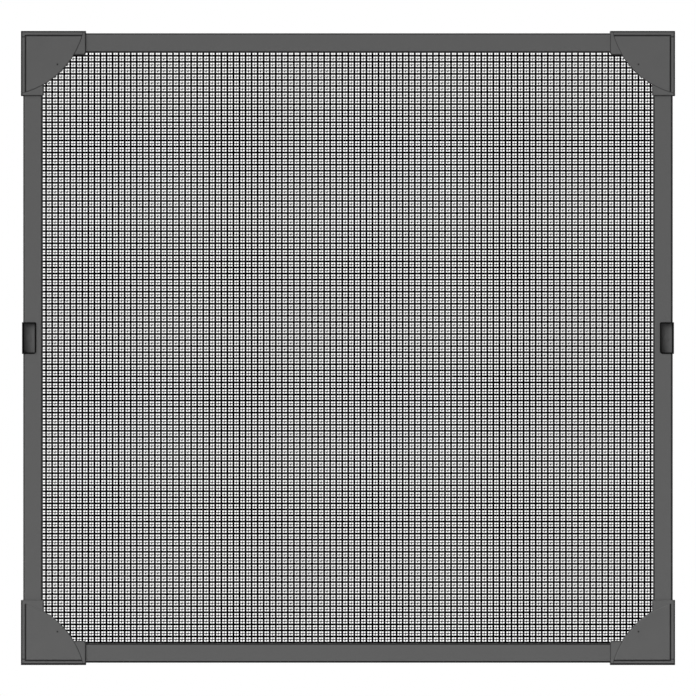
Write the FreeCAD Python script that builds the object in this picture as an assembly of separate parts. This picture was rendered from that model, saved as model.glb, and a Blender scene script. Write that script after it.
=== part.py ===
import FreeCAD, Part

import math
import os

# A window screen: four hollow bars sleeved into four moulded corner pieces, a woven cloth gripped in a groove
# round the back by cord, and a finger pull let into each upright bar.
# Lengths are in millimetres. X runs across the screen, Z up it, and Y from its front face to its back.
# The origin is the middle of the whole screen.

# The whole screen, measured over its corner pieces
screen_width = 686.0
screen_height = 665.0

# Bars: a hollow box, with a groove beside it that opens to the back
bar_width = 20.4
bar_depth = 8.0
bar_wall = 1.0
bar_edge_radius = 2.4
groove_width = 5.4
groove_lip = 1.2
groove_floor = 1.0
groove_lip_drop = 1.4

# Corner pieces: sleeves over the bar ends, with a tongue inside each bar and a web across the inner corner
corner_leg = 68.0
corner_overhang = 2.25
corner_level_step = 2.4
corner_upright_step = 1.1
corner_end_slant = 1.4
corner_face_wall = 1.6
corner_end_wall = 3.0
corner_edge_radius = 1.3
sleeve_fit = 0.15
tongue_length = 34.0
tongue_taper = 1.5

# Face of a corner piece: a raised pad that ends in an arc, with a groove along its two straight sides
pad_raise = 0.5
pad_inset = 5.8
pad_reach = 64.3
pad_bulge = 10.3
pad_edge_radius = 1.2
pad_groove_width = 1.75
pad_groove_depth = 1.0
lip_tick_width = 1.0
lip_tick_depth = 0.7
dimple_diameter = 2.0
dimple_depth = 0.7
dimple_across = 38.4
dimple_up = 35.2

# Woven cloth: upright strands in front, cross strands behind, and a hem turned into the groove
strand_pitch = 6.35
strand_width = 2.2
strand_thickness = 0.5
strand_gap = 0.1
hem_thickness = 0.5
hem_fit = 0.05

# Cord pressed into the groove
cord_fit = 0.05

# Finger pulls: a dished cup behind a thin rim that wraps the bar's outer edge
pull_height = 33.2
pull_rise = 10.4
pull_overhang = 1.1
pull_rim_thickness = 1.2
pull_rim_width = 1.4
pull_rim_slope = 0.7
pull_lap = 0.9
pull_lower_radius = 3.0
pull_upper_radius = 1.4
pull_dish_depth = 5.8
pull_dish_bow = 2.6
pull_wall = 0.55
pull_grip_height = 0.6
pull_grip_radius = 18.0
pull_barb_width = 5.0
pull_barb_reach = 0.8
pull_barb_height = 1.2
pull_fit = 0.12

# A rounded edge takes at most this share of the wall behind it
edge_round_limit = 0.82

# Heights of the layers, from the front at negative Y to the back
bar_front = -bar_depth / 2
bar_back = bar_depth / 2
groove_bottom = bar_front + groove_floor
lip_back = bar_back - groove_lip_drop
collar_front = bar_front - sleeve_fit - corner_face_wall
pad_front = collar_front - pad_raise
web_back = bar_front - sleeve_fit
corner_back = -pad_front
cloth_front = lip_back + hem_fit

# Distances inwards from the outer faces of the corner pieces
bar_outer = corner_overhang
bar_inner = bar_outer + bar_width
box_inner = bar_inner - groove_lip - groove_width
hollow_outer = bar_outer + bar_wall
hollow_inner = box_inner - bar_wall
lip_outer = bar_inner - groove_lip
level_arm = bar_inner + corner_level_step
upright_arm = bar_inner + corner_upright_step
socket_end = max(level_arm, upright_arm) + corner_end_wall
bar_end = socket_end + sleeve_fit
cord_radius = (groove_width - hem_thickness - hem_fit) / 2 - cord_fit
cord_centre = box_inner + cord_fit + cord_radius
hem_outer = lip_outer - hem_fit - hem_thickness

# Cut-out in an upright bar for its finger pull
notch_half_height = pull_height / 2 - pull_lap
notch_back = bar_back - bar_wall - pull_fit

# A cutting shape runs this far past the surface that it opens
past = 1.0

origin = FreeCAD.Vector(0, 0, 0)
across = FreeCAD.Vector(1, 0, 0)
upwards = FreeCAD.Vector(0, 0, 1)
backwards = FreeCAD.Vector(0, 1, 0)


def block(x0, x1, y0, y1, z0, z1):
    """A box between two opposite corners."""
    return Part.makeBox(x1 - x0, y1 - y0, z1 - z0, FreeCAD.Vector(x0, y0, z0))


def plate(outline, y0, y1):
    """A flat plate from Y = y0 to y1 whose outline is a list of (x, z) points."""
    points = [FreeCAD.Vector(x, y0, z) for x, z in outline]
    wire = Part.makePolygon(points + points[:1])
    return Part.Face(wire).extrude(FreeCAD.Vector(0, y1 - y0, 0))


def window(half_x, half_z, y):
    """A rectangular loop of edges about the Y axis, at height y."""
    corners = [(-half_x, -half_z), (half_x, -half_z), (half_x, half_z), (-half_x, half_z)]
    points = [FreeCAD.Vector(x, y, z) for x, z in corners]
    return Part.makePolygon(points + points[:1])


def pierced_face(loops):
    """A flat face whose first loop is its outline, and whose other loops are holes."""
    return Part.makeFace(loops, "Part::FaceMakerBullseye")


def rectangular_ring(outer_x, outer_z, inner_x, inner_z, y0, y1):
    """A flat rectangular frame from Y = y0 to y1, given by its outer and inner half sizes."""
    loops = [window(outer_x, outer_z, y0), window(inner_x, inner_z, y0)]
    return pierced_face(loops).extrude(FreeCAD.Vector(0, y1 - y0, 0))


def swapped(shape):
    """The shape with X and Z changed over, so that an upright piece is made from one that lies along X."""
    return shape.mirror(origin, FreeCAD.Vector(1, 0, -1))


def edges_at_depth(shape, y):
    """The edges that lie wholly in the plane Y = y."""
    tolerance = 1e-6
    return [
        edge
        for edge in shape.Edges
        if abs(edge.BoundBox.YMin - y) < tolerance and abs(edge.BoundBox.YMax - y) < tolerance
    ]


def on_four_sides(lower, left):
    """A lower and a left piece, drawn inwards from the outer faces, and their mirror images."""
    lower = lower.translated(FreeCAD.Vector(0, 0, -screen_height / 2))
    left = left.translated(FreeCAD.Vector(-screen_width / 2, 0, 0))
    return {
        "top": lower.mirror(origin, upwards),
        "bottom": lower,
        "left": left,
        "right": left.mirror(origin, across),
    }


def bar(half_length):
    """A bar along X: a hollow box at its outer side and an open groove at its inner side."""
    outline = [
        (bar_front, bar_outer),
        (bar_front, bar_inner),
        (lip_back, bar_inner),
        (lip_back, lip_outer),
        (groove_bottom, lip_outer),
        (groove_bottom, box_inner),
        (bar_back, box_inner),
        (bar_back, bar_outer),
    ]
    points = [FreeCAD.Vector(-half_length, y, z) for y, z in outline]
    length = FreeCAD.Vector(2 * half_length, 0, 0)
    body = Part.Face(Part.makePolygon(points + points[:1])).extrude(length)
    front_edges = edges_at_depth(body, bar_front)
    long_edges = [edge for edge in front_edges if edge.BoundBox.XLength > half_length]
    body = body.makeFillet(bar_edge_radius, long_edges)
    hollow = block(
        -half_length - past,
        half_length + past,
        bar_front + bar_wall,
        bar_back - bar_wall,
        hollow_outer,
        hollow_inner,
    )
    return body.cut(hollow)


def pull_notch():
    """The cut-out for a finger pull in the front and outer walls of the left bar."""
    return block(
        bar_outer - past,
        hollow_inner,
        bar_front - past,
        notch_back,
        pull_rise - notch_half_height,
        pull_rise + notch_half_height,
    )


def bars():
    """The four bars, with the cut-outs in the upright ones."""
    lower = bar(screen_width / 2 - bar_end)
    upright = swapped(bar(screen_height / 2 - bar_end)).cut(pull_notch())
    return {f"{side}_bar": shape for side, shape in on_four_sides(lower, upright).items()}


def corner_shell():
    """The L-shaped body of a corner piece, thicker over the bar's box than beside the groove.

    The strip of each arm that stands past the bar has a slanted end.
    """
    slant_start = corner_leg - corner_end_slant
    arms = [(0, 0), (corner_leg, 0), (corner_leg, bar_inner), (slant_start, level_arm)]
    arms += [(upright_arm, level_arm), (upright_arm, slant_start), (bar_inner, corner_leg), (0, corner_leg)]
    band = [(0, 0), (corner_leg, 0), (corner_leg, box_inner), (box_inner, box_inner)]
    band += [(box_inner, corner_leg), (0, corner_leg)]
    body = plate(arms, collar_front, lip_back).fuse(plate(band, lip_back, corner_back)).removeSplitter()
    rim = edges_at_depth(body, collar_front) + edges_at_depth(body, corner_back)
    return body.makeFillet(min(corner_edge_radius, corner_face_wall * edge_round_limit), rim)


def corner_pad():
    """The raised pad and web: part of a disc with a rounded rim, cut off along two straight sides."""
    half_chord = (pad_reach - pad_inset) / math.sqrt(2)
    radius = (half_chord**2 + pad_bulge**2) / (2 * pad_bulge)
    middle = (pad_reach + pad_inset) / 2 - (radius - pad_bulge) / math.sqrt(2)
    thickness = web_back - pad_front
    disc = Part.makeCylinder(radius, thickness, FreeCAD.Vector(middle, pad_front, middle), backwards)
    rim_radius = min(pad_edge_radius, thickness * edge_round_limit)
    disc = disc.makeFillet(rim_radius, edges_at_depth(disc, pad_front))
    end = middle + radius
    return disc.common(block(pad_inset, end, pad_front, web_back, pad_inset, end))


def corner_face_cuts():
    """The groove along the pad's straight sides, the tick across the upright lip and the web's dimple."""
    near = pad_inset - pad_groove_width
    outline = [(near, near), (pad_reach, near), (pad_reach, pad_inset), (pad_inset, pad_inset)]
    outline += [(pad_inset, pad_reach), (near, pad_reach)]
    groove = plate(outline, collar_front - past, collar_front + pad_groove_depth)
    tick = block(
        -past,
        near,
        collar_front - past,
        collar_front + lip_tick_depth,
        pad_inset,
        pad_inset + lip_tick_width,
    )
    centre = FreeCAD.Vector(dimple_across, pad_front, dimple_up)
    dimple = Part.makeCylinder(dimple_diameter / 2, dimple_depth, centre, backwards)
    return [groove, tick, dimple]


def sleeve_cuts():
    """What the arm along X leaves open: the bar's seat, and the groove that carries on past the bar's end."""
    seat_front = bar_front - sleeve_fit
    seat_back = bar_back + sleeve_fit
    end = corner_leg + past
    box_seat = block(socket_end, end, seat_front, seat_back, bar_outer - sleeve_fit, box_inner)
    groove_seat = block(socket_end, end, seat_front, corner_back + past, box_inner, bar_inner + sleeve_fit)
    groove = block(box_inner, socket_end, groove_bottom, corner_back + past, box_inner, lip_outer)
    return [box_seat, groove_seat, groove]


def tongue():
    """The plug that fills the hollow of the bar along X, tapered at its tip."""
    root = socket_end - corner_end_wall
    tip = socket_end + tongue_length
    half_depth = bar_depth / 2 - bar_wall - sleeve_fit
    low = hollow_outer + sleeve_fit
    high = hollow_inner - sleeve_fit
    body = block(root, tip, -half_depth, half_depth, low, high)
    tip_edges = [edge for edge in body.Edges if edge.BoundBox.XMin > tip - past]
    return body.makeChamfer(tongue_taper, tip_edges)


def corner_piece():
    """One moulded corner, drawn with its outer corner at the origin and its arms along X and Z."""
    seats = sleeve_cuts()
    plug = tongue()
    body = corner_shell().fuse(corner_pad())
    body = body.cut(corner_face_cuts() + seats + [swapped(seat) for seat in seats])
    return body.fuse([plug, swapped(plug)]).removeSplitter()


def corners():
    """The corner piece at the lower left, and its mirror images."""
    lower_left = corner_piece().translated(FreeCAD.Vector(-screen_width / 2, 0, -screen_height / 2))
    lower_right = lower_left.mirror(origin, across)
    return {
        "bottom_left_corner": lower_left,
        "bottom_right_corner": lower_right,
        "top_left_corner": lower_left.mirror(origin, upwards),
        "top_right_corner": lower_right.mirror(origin, upwards),
    }


def strand_layer(outer_along, outer_across, open_along, open_across, y0):
    """Parallel strands along Z inside a hem: a plate with one long gap between each strand and the next."""
    room = 2 * (open_across - strand_gap) - strand_width
    count = math.floor(room / strand_pitch) + 1
    middles = [(index - (count - 1) / 2) * strand_pitch for index in range(count)]
    starts = [-open_across] + [middle + strand_width / 2 for middle in middles]
    ends = [middle - strand_width / 2 for middle in middles] + [open_across]
    loops = [window(outer_across, outer_along, y0)]
    for start, end in zip(starts, ends):
        loop = window((end - start) / 2, open_along, y0)
        loops.append(loop.translated(FreeCAD.Vector((start + end) / 2, 0, 0)))
    return pierced_face(loops).extrude(FreeCAD.Vector(0, strand_thickness, 0))


def screen_cloth():
    """The woven cloth: one wall of upright strands, with the cross strands as ridges close behind it."""
    outer_x = screen_width / 2 - hem_outer
    outer_z = screen_height / 2 - hem_outer
    open_x = screen_width / 2 - bar_inner
    open_z = screen_height / 2 - bar_inner
    seam = cloth_front + strand_thickness
    back_layer = seam + strand_gap
    upright = strand_layer(outer_z, outer_x, open_z, open_x, cloth_front)
    level = swapped(strand_layer(outer_x, outer_z, open_x, open_z, back_layer))
    join = rectangular_ring(outer_x, outer_z, open_x, open_z, seam, back_layer)
    turn = rectangular_ring(
        outer_x,
        outer_z,
        outer_x - hem_thickness,
        outer_z - hem_thickness,
        groove_bottom + hem_fit,
        cloth_front,
    )
    return upright.fuse([join, level, turn]).removeSplitter()


def cord_length(half_length):
    """A round cord along X, lying on the floor of the groove."""
    start = FreeCAD.Vector(-half_length, groove_bottom + cord_fit + cord_radius, cord_centre)
    return Part.makeCylinder(cord_radius, 2 * half_length, start, across)


def cords():
    """Four lengths of cord: level ones that reach into the corners, and upright ones between them."""
    level_end = box_inner + cord_fit
    upright_end = cord_centre + cord_radius + cord_fit
    lower = cord_length(screen_width / 2 - level_end)
    upright = swapped(cord_length(screen_height / 2 - upright_end))
    return {f"{side}_cord": shape for side, shape in on_four_sides(lower, upright).items()}


def rounded_corner(x, z, radius, end, y):
    """A quarter arc that rounds the inner corner at (x, z), at the upper end (1) or the lower end (-1)."""
    turn = radius * (1 - math.sqrt(0.5))
    beside = FreeCAD.Vector(x - radius, y, z)
    middle = FreeCAD.Vector(x - turn, y, z - end * turn)
    along = FreeCAD.Vector(x, y, z - end * radius)
    return Part.Arc(beside, middle, along)


def pull_rim(outer, rim_front):
    """The raised rim on the bar's face, sloped round its outside, and its skirt over the bar's outer edge."""
    inner = hollow_inner + pull_lap
    half = pull_height / 2
    lower = rounded_corner(inner, -half, pull_lower_radius, -1, rim_front)
    upper = rounded_corner(inner, half, pull_upper_radius, 1, rim_front)
    outer_low = FreeCAD.Vector(outer, rim_front, -half)
    outer_high = FreeCAD.Vector(outer, rim_front, half)
    edges = [
        Part.LineSegment(outer_low, lower.StartPoint),
        lower,
        Part.LineSegment(lower.EndPoint, upper.EndPoint),
        upper,
        Part.LineSegment(upper.StartPoint, outer_high),
        Part.LineSegment(outer_high, outer_low),
    ]
    outline = Part.Wire(Part.__sortEdges__([edge.toShape() for edge in edges]))
    face = Part.Face(outline).extrude(FreeCAD.Vector(0, bar_front - rim_front, 0))
    skirt = block(outer, bar_outer, rim_front, notch_back + pull_lap, -half, half)
    rim = face.fuse(skirt).removeSplitter()
    room = min(pull_rim_thickness, pull_upper_radius, pull_lower_radius) * edge_round_limit
    return rim.makeChamfer(min(pull_rim_slope, room), edges_at_depth(rim, rim_front))


def pull_dish(outer, rim_front, cup_half):
    """The hollow for the fingertip: straight walls, and a floor that bows up towards both long sides."""
    left = outer + pull_rim_width
    right = hollow_inner - pull_fit - pull_wall
    half_width = (right - left) / 2
    half_height = cup_half - pull_wall
    deepest = rim_front + pull_dish_depth
    bow_radius = (half_width**2 + pull_dish_bow**2) / (2 * pull_dish_bow)
    walls = block(left, right, rim_front - past, deepest - pull_dish_bow, -half_height, half_height)
    axis_foot = FreeCAD.Vector((left + right) / 2, deepest - bow_radius, -half_height)
    bowl = Part.makeCylinder(bow_radius, 2 * half_height, axis_foot, upwards)
    floor = block(left, right, deepest - pull_dish_bow, deepest + past, -half_height, half_height)
    return walls.fuse(bowl.common(floor)).removeSplitter()


def pull_barb(end):
    """A wedge that catches behind the bar's face, at the upper end (1) or the lower end (-1) of the cup."""
    top = bar_front + bar_wall + pull_fit
    root = notch_half_height - pull_wall
    tip = notch_half_height + pull_barb_reach
    middle = (bar_outer + hollow_inner) / 2
    outline = [(top, root), (top, tip), (top + pull_barb_height, notch_half_height - pull_fit)]
    outline += [(top + pull_barb_height, root)]
    points = [FreeCAD.Vector(middle - pull_barb_width / 2, y, end * z) for y, z in outline]
    face = Part.Face(Part.makePolygon(points + points[:1]))
    return face.extrude(FreeCAD.Vector(pull_barb_width, 0, 0))


def finger_pull():
    """The left finger pull: rim, cup, dish with a grip ridge across it, and a barb at each end."""
    outer = bar_outer - pull_overhang
    rim_front = bar_front - pull_rim_thickness
    cup_half = notch_half_height - pull_fit
    cup = block(outer, hollow_inner - pull_fit, bar_front, notch_back - pull_fit, -cup_half, cup_half)
    dish = pull_dish(outer, rim_front, cup_half)
    ridge_axis = rim_front + pull_dish_depth + pull_grip_radius - pull_grip_height
    ridge_start = FreeCAD.Vector(outer, ridge_axis, 0)
    ridge = Part.makeCylinder(pull_grip_radius, hollow_inner - outer, ridge_start, across)
    body = cup.fuse([pull_rim(outer, rim_front), pull_barb(1), pull_barb(-1)]).cut(dish)
    return body.fuse(ridge.common(dish)).removeSplitter()


def finger_pulls():
    """The finger pulls, a little above the middle of the upright bars."""
    left = finger_pull().translated(FreeCAD.Vector(-screen_width / 2, 0, pull_rise))
    return {"left_finger_pull": left, "right_finger_pull": left.mirror(origin, across)}


def pieces():
    """Every piece of the screen, by name."""
    return {**bars(), **corners(), **cords(), **finger_pulls(), "screen_cloth": screen_cloth()}


os.makedirs("parts", exist_ok=True)
for name, shape in pieces().items():
    shape.exportStep(f"parts/{name}.step")
    print(name, "solids", len(shape.Solids), "valid", shape.isValid(), "volume", round(shape.Volume, 1))
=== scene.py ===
import math

import bpy
import numpy as np
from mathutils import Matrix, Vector


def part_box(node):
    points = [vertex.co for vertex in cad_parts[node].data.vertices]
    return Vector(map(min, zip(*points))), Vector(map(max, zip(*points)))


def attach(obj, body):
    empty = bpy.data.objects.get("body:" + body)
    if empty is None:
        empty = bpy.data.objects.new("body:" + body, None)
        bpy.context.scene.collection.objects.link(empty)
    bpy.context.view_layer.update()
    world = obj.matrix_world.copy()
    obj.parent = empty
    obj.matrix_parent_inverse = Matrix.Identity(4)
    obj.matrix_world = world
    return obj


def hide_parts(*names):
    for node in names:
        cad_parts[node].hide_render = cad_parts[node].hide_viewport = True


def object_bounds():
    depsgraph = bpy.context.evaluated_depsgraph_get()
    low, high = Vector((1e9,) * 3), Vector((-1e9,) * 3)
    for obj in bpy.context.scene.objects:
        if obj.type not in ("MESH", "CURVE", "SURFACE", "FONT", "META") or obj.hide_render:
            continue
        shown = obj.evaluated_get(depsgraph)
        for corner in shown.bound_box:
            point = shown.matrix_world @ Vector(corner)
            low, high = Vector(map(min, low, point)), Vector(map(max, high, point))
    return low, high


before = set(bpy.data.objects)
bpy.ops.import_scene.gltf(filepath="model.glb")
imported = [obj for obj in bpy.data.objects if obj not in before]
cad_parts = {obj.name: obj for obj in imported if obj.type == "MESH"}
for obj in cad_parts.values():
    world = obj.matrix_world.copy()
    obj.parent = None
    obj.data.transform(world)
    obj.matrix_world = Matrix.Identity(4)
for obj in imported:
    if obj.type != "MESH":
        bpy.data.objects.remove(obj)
cad_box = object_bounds()

# A window screen: grey bars in moulded corner pieces, a dark woven cloth held by cord at the back, and a
# finger pull in each upright bar. Lengths are in metres. X runs across the screen, Z up it, and Y from its
# front to its back.
mm = 0.001
body = "root"
sides = ("top", "bottom", "left", "right")

# Photograph: its width, and the width of the screen in it, in its own pixels
photo_width_px = 696
screen_width_px = 654.4

# Camera, level with the middle of the screen and square to it
lens_mm = 250
sensor_mm = 36

# Woven cloth: wide strands that pass over and under each other, a pitch apart across and up the screen, and a
# thin strand midway between each two. The middle of the weave lies a little off the middle of the screen, and
# the end gap is the least space beside the last wide strand
pitch_across = 6.348 * mm
pitch_up = 6.353 * mm
weave_across = 0.33 * mm
weave_up = -1.21 * mm
wide_upright_half_width = 0.99 * mm
wide_level_half_width = 1.01 * mm
wide_half_thickness = 0.25 * mm
weave_rise = 0.27 * mm
thin_upright_half_width = 0.22 * mm
thin_level_half_width = 0.39 * mm
thin_half_thickness = 0.13 * mm
thin_offset = 0.42 * mm
cloth_half_thickness = 0.55 * mm
end_gap = 0.1 * mm
strand_sides = 6

# Hem of the cloth, turned over the lip of the bars into their groove
hem_reach = 1.75 * mm
hem_half_thickness = 0.25 * mm
hem_straight = 0.3 * mm
hem_bend = hem_reach - 2 * hem_half_thickness - hem_straight
hem_bend_stations = 4

# Knot where two thin strands meet: a slanted drop of black coating
knot_half_length = 1.4 * mm
knot_half_width = 0.8 * mm
knot_half_thickness = 0.5 * mm
knot_slant = math.radians(52)
knot_drop = 0.25 * mm
knot_sides = 6

# Cord in the groove: round, with fine ridges along it. The depth of a ridge is a share of the radius
cord_ridges = 14
cord_ridge_depth = 0.07
points_per_ridge = 6
cord_stations = 3

# Painted shade in the corner pieces' grooves and along the rounded edges of the bars: the depths behind the
# front of a piece where it starts, is full, starts to fade and ends. It is wider on the outer edges of two of
# the bars, which face away from the light
corner_painted_shade = (0.53 * mm, 0.72 * mm, 2.2 * mm, 3.6 * mm)
bar_painted_shade = (0.02 * mm, 0.38 * mm, 2.4 * mm, 4.0 * mm)
outer_bar_painted_shade = (0.0 * mm, 0.1 * mm, 2.4 * mm, 4.0 * mm)

# A change from one half of a bar, or of the screen, to its other half takes this far
half_blend = 1.0 * mm

# Line of painted shade at the foot of a corner piece's curved pad, where it steps down: the arc's middle, in
# from the outer corner both ways, its radius, half the width of the line and how strong it is
pad_arc_middle = -20.04 * mm
pad_arc_radius = 87.9 * mm
pad_line_half_width = 0.65 * mm
pad_line_share = 0.75

# Line of painted shade round the rounded outside edge of a corner piece, wider on the underside of a lower
# one,
# which faces away from the light: how far in from its edge, how far up from the underside of a lower one, and
# how far behind its front, it starts to fade and ends
rim_fade = 1.1 * mm
rim_end = 1.9 * mm
under_fade = 1.8 * mm
under_end = 2.5 * mm
rim_depth_fade = 1.6 * mm
rim_depth_end = 2.4 * mm

# The outer sides of a corner piece get none of the painted shade of its grooves. It is full this far in from
# them
unshaded_side = 0.4 * mm

# Painted light: ledges of the lower corner pieces that face up, into the light, are left without painted
# shade:
# where the end of the upright arm starts and is full, and how far past the middle of the arc its upper half
# is full
ledge_start = 65.4 * mm
ledge_full = 66.4 * mm
ledge_blend = 10 * mm

# Wear in the finger pulls: the depths between which it begins, how far out from the middle of the screen it
# goes, and over what width it ends there
wear_start = 1.3 * mm
wear_full = 3.2 * mm
wear_reach = 340.0 * mm
wear_edge = 0.3 * mm

# Finish of the bars. In this and the other finishes a size is that of one kind of lumps, a share says how
# much of two kinds is the first, relief is how far they stand up, and tones and roughness run from low to
# high
peel_size = 1.6 * mm
speckle_size = 0.35 * mm
peel_share = 0.75
bar_relief = 0.02 * mm
bar_tones = (0.097, 0.117)
# Tone of the painted shade along the rounded edges of the bars
bar_painted_shade_tone = 0.024
# Darker tone of the painted shade on the outer edges of the bottom and right bars, which face away from the
# light
outer_bar_painted_shade_tone = 0.012
bar_roughness = (0.56, 0.72)
bar_shine = 0.05

# Finish of the corner pieces, and the tones of the painted shade on the pad's arc, in the grooves and round
# the rim
moulded_grain_size = 0.45 * mm
flow_size = 18 * mm
flow_share = 0.6
corner_relief = 0.02 * mm
corner_tones = (0.099, 0.115)
corner_painted_shade_tones = (0.03, 0.04, 0.015)
corner_roughness = (0.6, 0.76)
corner_shine = 0.05

# Finish of the finger pulls: one black tone, and the greys where it is worn
satin_grain_size = 0.4 * mm
pull_relief = 0.006 * mm
pull_tone = 0.005
worn_tones = (0.08, 0.1)
pull_roughness = (0.4, 0.5)
pull_shine = 0.03

# Finish of the strands
yarn_lump_size = 1.1 * mm
fuzz_size = 0.25 * mm
yarn_lump_share = 0.6
yarn_relief = 0.03 * mm
yarn_tones = (0.0005, 0.0015)
yarn_roughness = (0.6, 0.8)
yarn_shine = 0.0

# Finish of the cords
bloom_size = 6 * mm
grit_size = 0.3 * mm
rubber_relief = 0.02 * mm
rubber_tones = (0.018, 0.032)
rubber_roughness = (0.6, 0.8)
rubber_shine = 0.25

# Light: how wide each lamp looks from the screen, where each one shines, how strong it is, and the surround
light_angle = math.radians(60)
front_light_way = (0.6, 0.7, -0.5)
front_light_strength = 3.04
back_light_way = (0.1, -0.95, -0.3)
back_light_strength = 2.4
side_light_way = (-0.95, -0.2, -0.2)
side_light_strength = 1.5
surround_level = 0.1

# Floor, below the hanging screen, which fades to white between two distances from its middle
floor_drop = 0.24
floor_half_width = 1.7
floor_front = -3.6
floor_back = 1.0
floor_tone = 0.85
fade_start = 0.45
fade_end = 1.0

# Places of the two colours among a Mix node's inputs, and of the mixed colour among its outputs
first_colour = 6
second_colour = 7
mixed_colour = 2


class Wire:
    """A socket in a node tree. Arithmetic on it adds Math nodes, and node() adds any other node."""

    def __init__(self, tree, socket=None):
        self.tree = tree
        self.socket = socket

    def node(self, kind, settings, sockets, output=0):
        """Adds a node: its settings first, then a value or a link for each named socket."""
        made = self.tree.nodes.new(kind)
        for name, value in settings.items():
            setattr(made, name, value)
        for name, value in sockets.items():
            if isinstance(value, Wire):
                self.tree.links.new(value.socket, made.inputs[name])
            else:
                made.inputs[name].default_value = value
        return Wire(self.tree, made.outputs[output]) if made.outputs else None

    def math(self, operation, *values):
        return self.node("ShaderNodeMath", {"operation": operation}, dict(enumerate(values)))

    def __add__(self, other):
        return self.math("ADD", self, other)

    def __sub__(self, other):
        return self.math("SUBTRACT", self, other)

    def __rsub__(self, other):
        return self.math("SUBTRACT", other, self)

    def __mul__(self, other):
        return self.math("MULTIPLY", self, other)

    __radd__ = __add__
    __rmul__ = __mul__


def grey(level):
    """A neutral colour."""
    return (level, level, level, 1.0)


def blank(name):
    """A new material with an empty node tree, and a wire to build it with."""
    material = bpy.data.materials.new(name)
    material.use_nodes = True
    material.node_tree.nodes.clear()
    return material, Wire(material.node_tree)


def noise(wire, grain_size, detail):
    """Noise on the piece's own coordinates, with lumps of about grain_size metres."""
    place = wire.node("ShaderNodeTexCoord", {}, {}, "Object")
    return wire.node("ShaderNodeTexNoise", {}, {"Vector": place, "Scale": 1 / grain_size, "Detail": detail})


def blend(wire, share, low, high):
    """A colour between two others, by share. Each of the two is a grey level or a wire."""
    first, second = (tone if isinstance(tone, Wire) else grey(tone) for tone in (low, high))
    sockets = {"Factor": share, first_colour: first, second_colour: second}
    return wire.node("ShaderNodeMix", {"data_type": "RGBA"}, sockets, mixed_colour)


def between(share, low, high):
    """A number between two others, by share."""
    return low + (high - low) * share


def lumps(first, second, first_share):
    """Two kinds of lumps in one, of which the first kind is first_share."""
    return first_share * first + (1 - first_share) * second


def ease(value, start, end):
    """A share that eases from 0 to 1 as value goes from start to end."""
    ranges = {"Value": value, "From Min": start, "From Max": end}
    return value.node("ShaderNodeMapRange", {"interpolation_type": "SMOOTHSTEP"}, ranges)


def along_axis(wire, axis):
    """Where a point of the piece is along an axis."""
    place = wire.node("ShaderNodeTexCoord", {}, {}, "Object")
    return wire.node("ShaderNodeSeparateXYZ", {}, {"Vector": place}, axis)


def off_middle(wire, axis):
    """How far a point of the piece is from the middle of the screen along an axis, to either side."""
    along = along_axis(wire, axis)
    return along.math("ABSOLUTE", along)


def painted_shade_band(wire, node, depths):
    """A share for painted shade: 1 in a band of depths behind the front of a solid, and 0 on both sides of
    it.
    """
    start, full, fade, end = (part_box(node)[0].y + depth for depth in depths)
    depth = along_axis(wire, "Y")
    return ease(depth, start, full) * (1 - ease(depth, fade, end))


def outer_half(wire):
    """A share that is 1 on the lower half of the bottom bar and the right half of the right bar, the halves
    that face away from the light.
    """
    bottom = sum(corner.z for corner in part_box("bottom_bar")) / 2
    right = sum(corner.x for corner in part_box("right_bar")) / 2
    below = ease(bottom - along_axis(wire, "Z"), 0.0, half_blend)
    beyond = ease(along_axis(wire, "X") - right, 0.0, half_blend)
    return below.math("MAXIMUM", below, beyond)


def pad_line(level_inset, upright_inset):
    """A share of painted shade that is 1 on the arc at the foot of each pad, and 0 half a line's width to
    either side.

    A point's distance from the arc is its distance from the arc's middle, less the arc's radius.
    """
    level, upright = level_inset - pad_arc_middle, upright_inset - pad_arc_middle
    square = level * level + upright * upright
    off_arc = square.math("SQRT", square) - pad_arc_radius
    return 1 - ease(off_arc.math("ABSOLUTE", off_arc), 0.0, pad_line_half_width)


def coat(wire, colour, roughness, height, relief, shine):
    """A dull coloured surface: colour and roughness vary, and height stands up by relief metres."""
    normal = wire.node("ShaderNodeBump", {}, {"Strength": 1.0, "Distance": relief, "Height": height})
    sockets = {"Base Color": colour, "Roughness": roughness, "Normal": normal, "Specular IOR Level": shine}
    shader = wire.node("ShaderNodeBsdfPrincipled", {}, sockets)
    wire.node("ShaderNodeOutputMaterial", {}, {"Surface": shader})


def powder_coat():
    """Grey powder coat on the bars: the faint peel of a baked coat, with a finer speckle in its colour."""
    material, wire = blank("grey_powder_coat")
    peel = noise(wire, peel_size, detail=2.0)
    speckle = noise(wire, speckle_size, detail=1.0)
    base_tone = blend(wire, speckle, *bar_tones)
    # Painted shade along the rounded edges of the bars
    edge_shaded = blend(wire, painted_shade_band(wire, "top_bar", bar_painted_shade), base_tone, bar_painted_shade_tone)
    # More painted shade on the outer edges of the bottom and right bars, which face away from the light
    outer = painted_shade_band(wire, "top_bar", outer_bar_painted_shade) * outer_half(wire)
    colour = blend(wire, outer, edge_shaded, outer_bar_painted_shade_tone)
    height = lumps(peel, speckle, peel_share)
    coat(wire, colour, between(peel, *bar_roughness), height, bar_relief, bar_shine)
    return material


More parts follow.
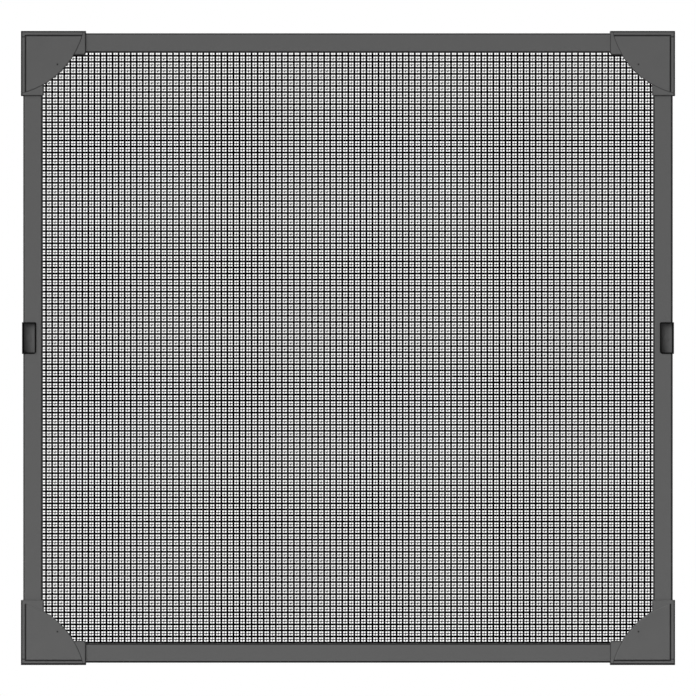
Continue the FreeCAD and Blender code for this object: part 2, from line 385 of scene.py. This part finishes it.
def corner_painted_shade_shares(wire):
    """Shares of painted shade on a corner piece: on its pad's arc, in its grooves and round its rim."""
    outer = cad_box[1]
    level, upright = outer.x - off_middle(wire, "X"), outer.z - off_middle(wire, "Z")
    nearest = level.math("MINIMUM", level, upright)
    behind = along_axis(wire, "Y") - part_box("top_left_corner")[0].y
    lower = 1 - ease(along_axis(wire, "Z"), 0.0, half_blend)

    # Painted shade on the foot of the pad's arc, left off the upper half of a lower corner's arc, which faces
    # up into the light
    arc = pad_line(level, upright) * (1 - lower * ease(upright - level, 0.0, ledge_blend))
    # Painted light: the up-facing end of a lower corner's upright arm gets none of the grooves' painted shade
    lit_ledge = lower * ease(upright, ledge_start, ledge_full)
    # Painted shade in the grooves, fading out towards the outer sides
    grooves = painted_shade_band(wire, "top_left_corner", corner_painted_shade) * (1 - lit_ledge) * ease(nearest, 0.0, unshaded_side)
    # Painted shade round the rounded outer edge, wider on a lower corner's underside, and only near the front
    edge = 1 - ease(nearest, rim_fade, rim_end)
    under = lower * (1 - ease(upright, under_fade, under_end))
    rim = edge.math("MAXIMUM", edge, under) * (1 - ease(behind, rim_depth_fade, rim_depth_end))
    return pad_line_share * arc, grooves, rim


def moulded_grain():
    """Grey moulded plastic of the corner pieces: a fine eroded grain over slow changes of tone."""
    material, wire = blank("grey_moulded_grain")
    grain = noise(wire, moulded_grain_size, detail=3.0)
    flow = noise(wire, flow_size, detail=2.0)
    colour = blend(wire, lumps(flow, grain, flow_share), *corner_tones)
    # Painted shade over the plastic's tone: on the pad's arc, in the grooves and round the rim
    for share, tone in zip(corner_painted_shade_shares(wire), corner_painted_shade_tones):
        colour = blend(wire, share, colour, tone)
    coat(wire, colour, between(grain, *corner_roughness), grain, corner_relief, corner_shine)
    return material


def satin_pull():
    """Black satin plastic of the finger pulls, worn to grey inside the dish."""
    material, wire = blank("black_satin_plastic")
    grain = noise(wire, satin_grain_size, detail=2.0)
    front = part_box("left_finger_pull")[0].y
    inside = 1 - ease(off_middle(wire, "X"), wear_reach - wear_edge, wear_reach)
    worn = inside * ease(along_axis(wire, "Y"), front + wear_start, front + wear_full)
    colour = blend(wire, worn, pull_tone, blend(wire, grain, *worn_tones))
    coat(wire, colour, between(grain, *pull_roughness), grain, pull_relief, pull_shine)
    return material


def coated_yarn():
    """Black coated yarn of the cloth, a little lumpy along its length."""
    material, wire = blank("black_coated_yarn")
    thick = noise(wire, yarn_lump_size, detail=2.0)
    fuzz = noise(wire, fuzz_size, detail=1.0)
    colour = blend(wire, thick, *yarn_tones)
    height = lumps(thick, fuzz, yarn_lump_share)
    coat(wire, colour, between(fuzz, *yarn_roughness), height, yarn_relief, yarn_shine)
    return material


def dull_rubber():
    """Black rubber of the cords, with a faint bloom."""
    material, wire = blank("dull_rubber")
    bloom = noise(wire, bloom_size, detail=3.0)
    grit = noise(wire, grit_size, detail=1.0)
    colour = blend(wire, bloom, *rubber_tones)
    coat(wire, colour, between(bloom, *rubber_roughness), grit, rubber_relief, rubber_shine)
    return material


def tubes(paths, side, profile):
    """Closed tubes along many paths at once, as points and arrays of faces.

    paths is strands by stations by 3. At each station the profile, a ring of (across, outward) offsets, is
    laid in the plane square to the path: point = path + across * side + outward * (tangent x side). Each ring
    is joined to the next by quads, and each end is closed by one face.
    """
    tangent = np.gradient(paths, axis=1)
    tangent /= np.linalg.norm(tangent, axis=2, keepdims=True)
    outward = np.cross(tangent, side)
    ring = profile[:, 0, None] * side + outward[:, :, None, :] * profile[:, 1, None]
    points = paths[:, :, None, :] + ring
    index = np.arange(points[..., 0].size).reshape(points.shape[:3])
    after = np.roll(index, -1, axis=2)
    quads = np.stack([index[:, :-1], after[:, :-1], after[:, 1:], index[:, 1:]], axis=-1)
    ends = np.concatenate([index[:, 0, ::-1], index[:, -1]])
    return points.reshape(-1, 3), [quads.reshape(-1, 4), ends]


def drops(centres, long_way, wide_way, thick_way):
    """Closed drops at many places at once, as points and arrays of faces.

    Each one is a ring, centre + long_way * cos a + wide_way * sin a for a round one turn, with one point in
    front of it, centre - thick_way, and one behind, centre + thick_way. Triangles join the ring to both.
    """
    turn = np.arange(knot_sides)[:, None] * 2 * np.pi / knot_sides
    offsets = np.concatenate([np.cos(turn) * long_way + np.sin(turn) * wide_way, [-thick_way, thick_way]])
    points = centres[:, None, :] + offsets
    index = np.arange(points[..., 0].size).reshape(points.shape[:2])
    here, after = index[:, :-2], np.roll(index[:, :-2], -1, axis=1)
    front, back = (np.broadcast_to(index[:, [place]], here.shape) for place in (-2, -1))
    faces = [np.stack([here, after, front], axis=-1), np.stack([after, here, back], axis=-1)]
    return points.reshape(-1, 3), [array.reshape(-1, 3) for array in faces]


def piece(name, parts, material, slot, *nodes):
    """One object from one or more parts, each of them points and arrays of faces, in place of some solids."""
    points = np.concatenate([part_points for part_points, _ in parts])
    faces = []
    start = 0
    for part_points, arrays in parts:
        for array in arrays:
            faces += (array + start).tolist()
        start += len(part_points)
    mesh = bpy.data.meshes.new(name)
    mesh.from_pydata(points.tolist(), [], faces)
    mesh.shade_smooth()
    mesh.materials.append(material)
    made = bpy.data.objects.new(name, mesh)
    bpy.context.scene.collection.objects.link(made)
    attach(made, body)
    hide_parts(*nodes)
    return made


def oval(half_width, half_thickness, count):
    """A flattened ring: (half_width * cos a, half_thickness * sin a) for a round one turn."""
    turn = np.arange(count) * 2 * np.pi / count
    return np.stack([half_width * np.cos(turn), half_thickness * np.sin(turn)], axis=1)


def half_outline(half_width, half_thickness):
    """Half the length round a strand, which is the width of its face laid flat."""
    ring = oval(half_width, half_thickness, strand_sides)
    return np.linalg.norm(ring - np.roll(ring, 1, axis=0), axis=1).sum() / 2


def wide_places(open_half, half_width, pitch):
    """The places of the wide strands: as many as the opening holds, a pitch apart, about its middle."""
    count = math.floor(2 * (open_half - end_gap - half_width) / pitch) + 1
    return (np.arange(count) - (count - 1) / 2) * pitch


def thin_places(places):
    """The places of the thin strands, midway between the wide ones."""
    return (places[1:] + places[:-1]) / 2


def strand_paths(places, along, depth, cloth, along_end):
    """Strand centrelines as strands by stations by (across, depth, along).

    The middle stations follow along and depth. At each end the strand turns through a quarter circle, over
    the lip of the bar, and runs down the wall of the groove to its floor.
    """
    middle = cloth["middle"]
    leg = along_end - hem_half_thickness
    turn = np.linspace(0, np.pi / 2, hem_bend_stations)
    bend_along = leg - hem_bend + hem_bend * np.sin(turn)
    bend_depth = middle - hem_bend + hem_bend * np.cos(turn)
    tail_along = np.append(bend_along, leg)
    tail_depth = np.append(bend_depth, cloth["floor"])
    stations = np.concatenate([-tail_along[::-1], along, tail_along])
    rise = np.zeros((len(places), len(tail_along))) + tail_depth
    depths = np.concatenate([rise[:, ::-1], depth, rise], axis=1)
    across = np.broadcast_to(places[:, None], depths.shape)
    return np.stack([across, depths, np.broadcast_to(stations, depths.shape)], axis=2)


def cut_length(along_end, cloth):
    """The length of cloth with its hem laid flat: two straight halves, quarter circles and groove walls."""
    straight = along_end - hem_half_thickness - hem_bend
    wall = cloth["middle"] - hem_bend - cloth["floor"]
    return 2 * (straight + math.pi / 2 * hem_bend + wall)


def strand_set(places, crossings, cloth, along_end, front):
    """Wide and thin strands that run one way, as centrelines.

    A wide strand k stands at depth middle + front * rise * (-1)^(k + j) where it meets cross strand j, so
    it goes in front of one and behind the next. A thin strand runs straight, midway between two wide ones.
    """
    sign = (-1.0) ** (np.arange(len(places))[:, None] + np.arange(len(crossings)))
    wide_depth = cloth["middle"] + front * weave_rise * sign
    wide = strand_paths(places, crossings, wide_depth, cloth, along_end)
    midway = thin_places(places)
    thin_depth = np.full((len(midway), 2), cloth["middle"] - front * thin_offset)
    thin = strand_paths(midway, crossings[[0, -1]], thin_depth, cloth, along_end)
    return wide, thin


def strand_parts(paths, side, wide_half, thin_half):
    """Tubes along the wide and the thin strands, each of them a flattened ring carried along its path."""
    wide_ring = oval(wide_half, wide_half_thickness, strand_sides)
    thin_ring = oval(thin_half, thin_half_thickness, strand_sides)
    return [tubes(path, side, ring) for path, ring in zip(paths, (wide_ring, thin_ring))]


def thin_knots(columns, rows, middle, material):
    """A slanted knot at each place where two thin strands meet, a little below their crossing."""
    x, z = np.meshgrid(thin_places(columns), thin_places(rows) - knot_drop)
    centres = np.stack([x.ravel(), np.full(x.size, middle), z.ravel()], axis=1)
    along = np.array([math.cos(knot_slant), 0.0, math.sin(knot_slant)])
    beside = np.array([-math.sin(knot_slant), 0.0, math.cos(knot_slant)])
    backwards = np.array([0.0, 1.0, 0.0])
    part = drops(centres, knot_half_length * along, knot_half_width * beside, knot_half_thickness * backwards)
    return piece("strand_knots", [part], material, "cloth", "screen_cloth")


def woven_cloth(material):
    """The cloth's upright strands and level strands, which pass over and under each other, and its knots."""
    low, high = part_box("screen_cloth")
    cloth = {"middle": high.y - cloth_half_thickness, "floor": low.y}
    columns = wide_places(high.x - hem_reach, wide_upright_half_width, pitch_across) + weave_across
    rows = wide_places(high.z - hem_reach, wide_level_half_width, pitch_up) + weave_up

    upright = strand_set(columns, rows, cloth, high.z, 1)
    side = np.array([1.0, 0.0, 0.0])
    parts = strand_parts(upright, side, wide_upright_half_width, thin_upright_half_width)
    upright_strands = piece("upright_strands", parts, material, "cloth", "screen_cloth")

    level = [paths[:, :, ::-1] for paths in strand_set(rows, columns, cloth, high.x, -1)]
    side = np.array([0.0, 0.0, 1.0])
    parts = strand_parts(level, side, wide_level_half_width, thin_level_half_width)
    level_strands = piece("level_strands", parts, material, "cloth", "screen_cloth")
    knots = thin_knots(columns, rows, cloth["middle"], material)

    flat = [cut_length(end, cloth) for end in (high.x, high.z)]
    faces = half_outline(wide_upright_half_width, wide_half_thickness) * len(columns)
    faces += half_outline(thin_upright_half_width, thin_half_thickness) * (len(columns) - 1)
    faces * flat[1]


def ridged_cords(material):
    """The four cords: at angle a the radius is full * (1 - depth * (1 - cos(ridges * a)) / 2)."""
    count = cord_ridges * points_per_ridge
    turn = np.arange(count) * 2 * np.pi / count
    dip = 1 - cord_ridge_depth * (1 - np.cos(cord_ridges * turn)) / 2
    for side_name in sides:
        low, high = (np.array(corner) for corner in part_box(f"{side_name}_cord"))
        length = high - low
        along = np.argmax(length)
        middle = (low + high) / 2
        start, end = middle.copy(), middle.copy()
        start[along], end[along] = low[along], high[along]
        share = np.linspace(0, 1, cord_stations)[:, None]
        path = (start + share * (end - start))[None]
        side = np.array([0.0, 1.0, 0.0])
        radius = length[1] / 2
        profile = oval(radius, radius, count) * dip[:, None]
        piece(f"{side_name}_ridged_cord", [tubes(path, side, profile)], material, "cord", f"{side_name}_cord")


def dress(names, material):
    """Gives solids that keep their shape a finish."""
    for name in names:
        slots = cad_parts[name].data.materials
        slots.clear()
        slots.append(material)


def seen_share(wire):
    """A share that is 1 where the camera sees the background, straight or mirrored or through something."""
    kinds = ("Camera", "Glossy", "Transmission")
    camera, glossy, through = (wire.node("ShaderNodeLightPath", {}, {}, f"Is {kind} Ray") for kind in kinds)
    return camera + glossy + through


def pale_floor(low):
    """A pale floor below the screen. It shows the screen's shadow, and fades to white at its edges."""
    material, wire = blank("pale_floor")
    place = wire.node("ShaderNodeTexCoord", {}, {}, "Object")
    reach = wire.node("ShaderNodeVectorMath", {"operation": "LENGTH"}, {0: place}, "Value")
    fade = ease(reach, fade_start, fade_end)
    paint = wire.node("ShaderNodeBsdfDiffuse", {}, {"Color": grey(floor_tone)})
    white = wire.node("ShaderNodeEmission", {}, {"Color": grey(1.0), "Strength": 1.0})
    shader = wire.node("ShaderNodeMixShader", {}, {0: fade * seen_share(wire), 1: paint, 2: white})
    wire.node("ShaderNodeOutputMaterial", {}, {"Surface": shader})

    across = np.array([-floor_half_width, floor_half_width, floor_half_width, -floor_half_width])
    depth = np.array([floor_front, floor_front, floor_back, floor_back])
    mesh = bpy.data.meshes.new("floor")
    mesh.from_pydata(np.stack([across, depth, np.zeros(4)], axis=1).tolist(), [], [(0, 1, 2, 3)])
    mesh.materials.append(material)
    floor = bpy.data.objects.new("floor", mesh)
    floor.location.z = low.z - floor_drop
    bpy.context.scene.collection.objects.link(floor)


def soft_light(name, way, strength):
    """A broad, even light from far off, shining along way."""
    data = bpy.data.lights.new(name, "SUN")
    data.energy = strength
    data.angle = light_angle
    light = bpy.data.objects.new(name, data)
    light.rotation_euler = Vector(way).to_track_quat("-Z", "Y").to_euler()
    bpy.context.scene.collection.objects.link(light)


def white_surround(level):
    """The world: white behind everything that is seen, and a soft level of light from all sides."""
    world = bpy.data.worlds.new("surround")
    world.use_nodes = True
    world.node_tree.nodes.clear()
    wire = Wire(world.node_tree)
    light = wire.node("ShaderNodeBackground", {}, {"Color": grey(1.0), "Strength": level})
    white = wire.node("ShaderNodeBackground", {}, {"Color": grey(1.0), "Strength": 1.0})
    shader = wire.node("ShaderNodeMixShader", {}, {0: seen_share(wire), 1: light, 2: white})
    wire.node("ShaderNodeOutputWorld", {}, {"Surface": shader})
    bpy.context.scene.world = world


def square_on_camera(low, high):
    """A camera on the screen's middle line, as far off as gives the screen its width in the photograph."""
    data = bpy.data.cameras.new("camera")
    data.lens = lens_mm
    data.sensor_width = sensor_mm
    view_width = (high.x - low.x) * photo_width_px / screen_width_px
    camera = bpy.data.objects.new("camera", data)
    distance = view_width * lens_mm / sensor_mm
    camera.location = ((low.x + high.x) / 2, low.y - distance, (low.z + high.z) / 2)
    camera.rotation_euler = (math.pi / 2, 0, 0)
    bpy.context.scene.collection.objects.link(camera)
    bpy.context.scene.camera = camera


low, high = cad_box
bpy.context.scene.view_settings.view_transform = "Standard"
square_on_camera(low, high)
white_surround(surround_level)
soft_light("front_light", front_light_way, front_light_strength)
soft_light("back_light", back_light_way, back_light_strength)
soft_light("side_light", side_light_way, side_light_strength)
pale_floor(low)

woven_cloth(coated_yarn())
ridged_cords(dull_rubber())
dress([f"{side}_bar" for side in sides], powder_coat())
dress([f"{end}_{side}_corner" for end in ("top", "bottom") for side in ("left", "right")], moulded_grain())
dress([f"{side}_finger_pull" for side in ("left", "right")], satin_pull())
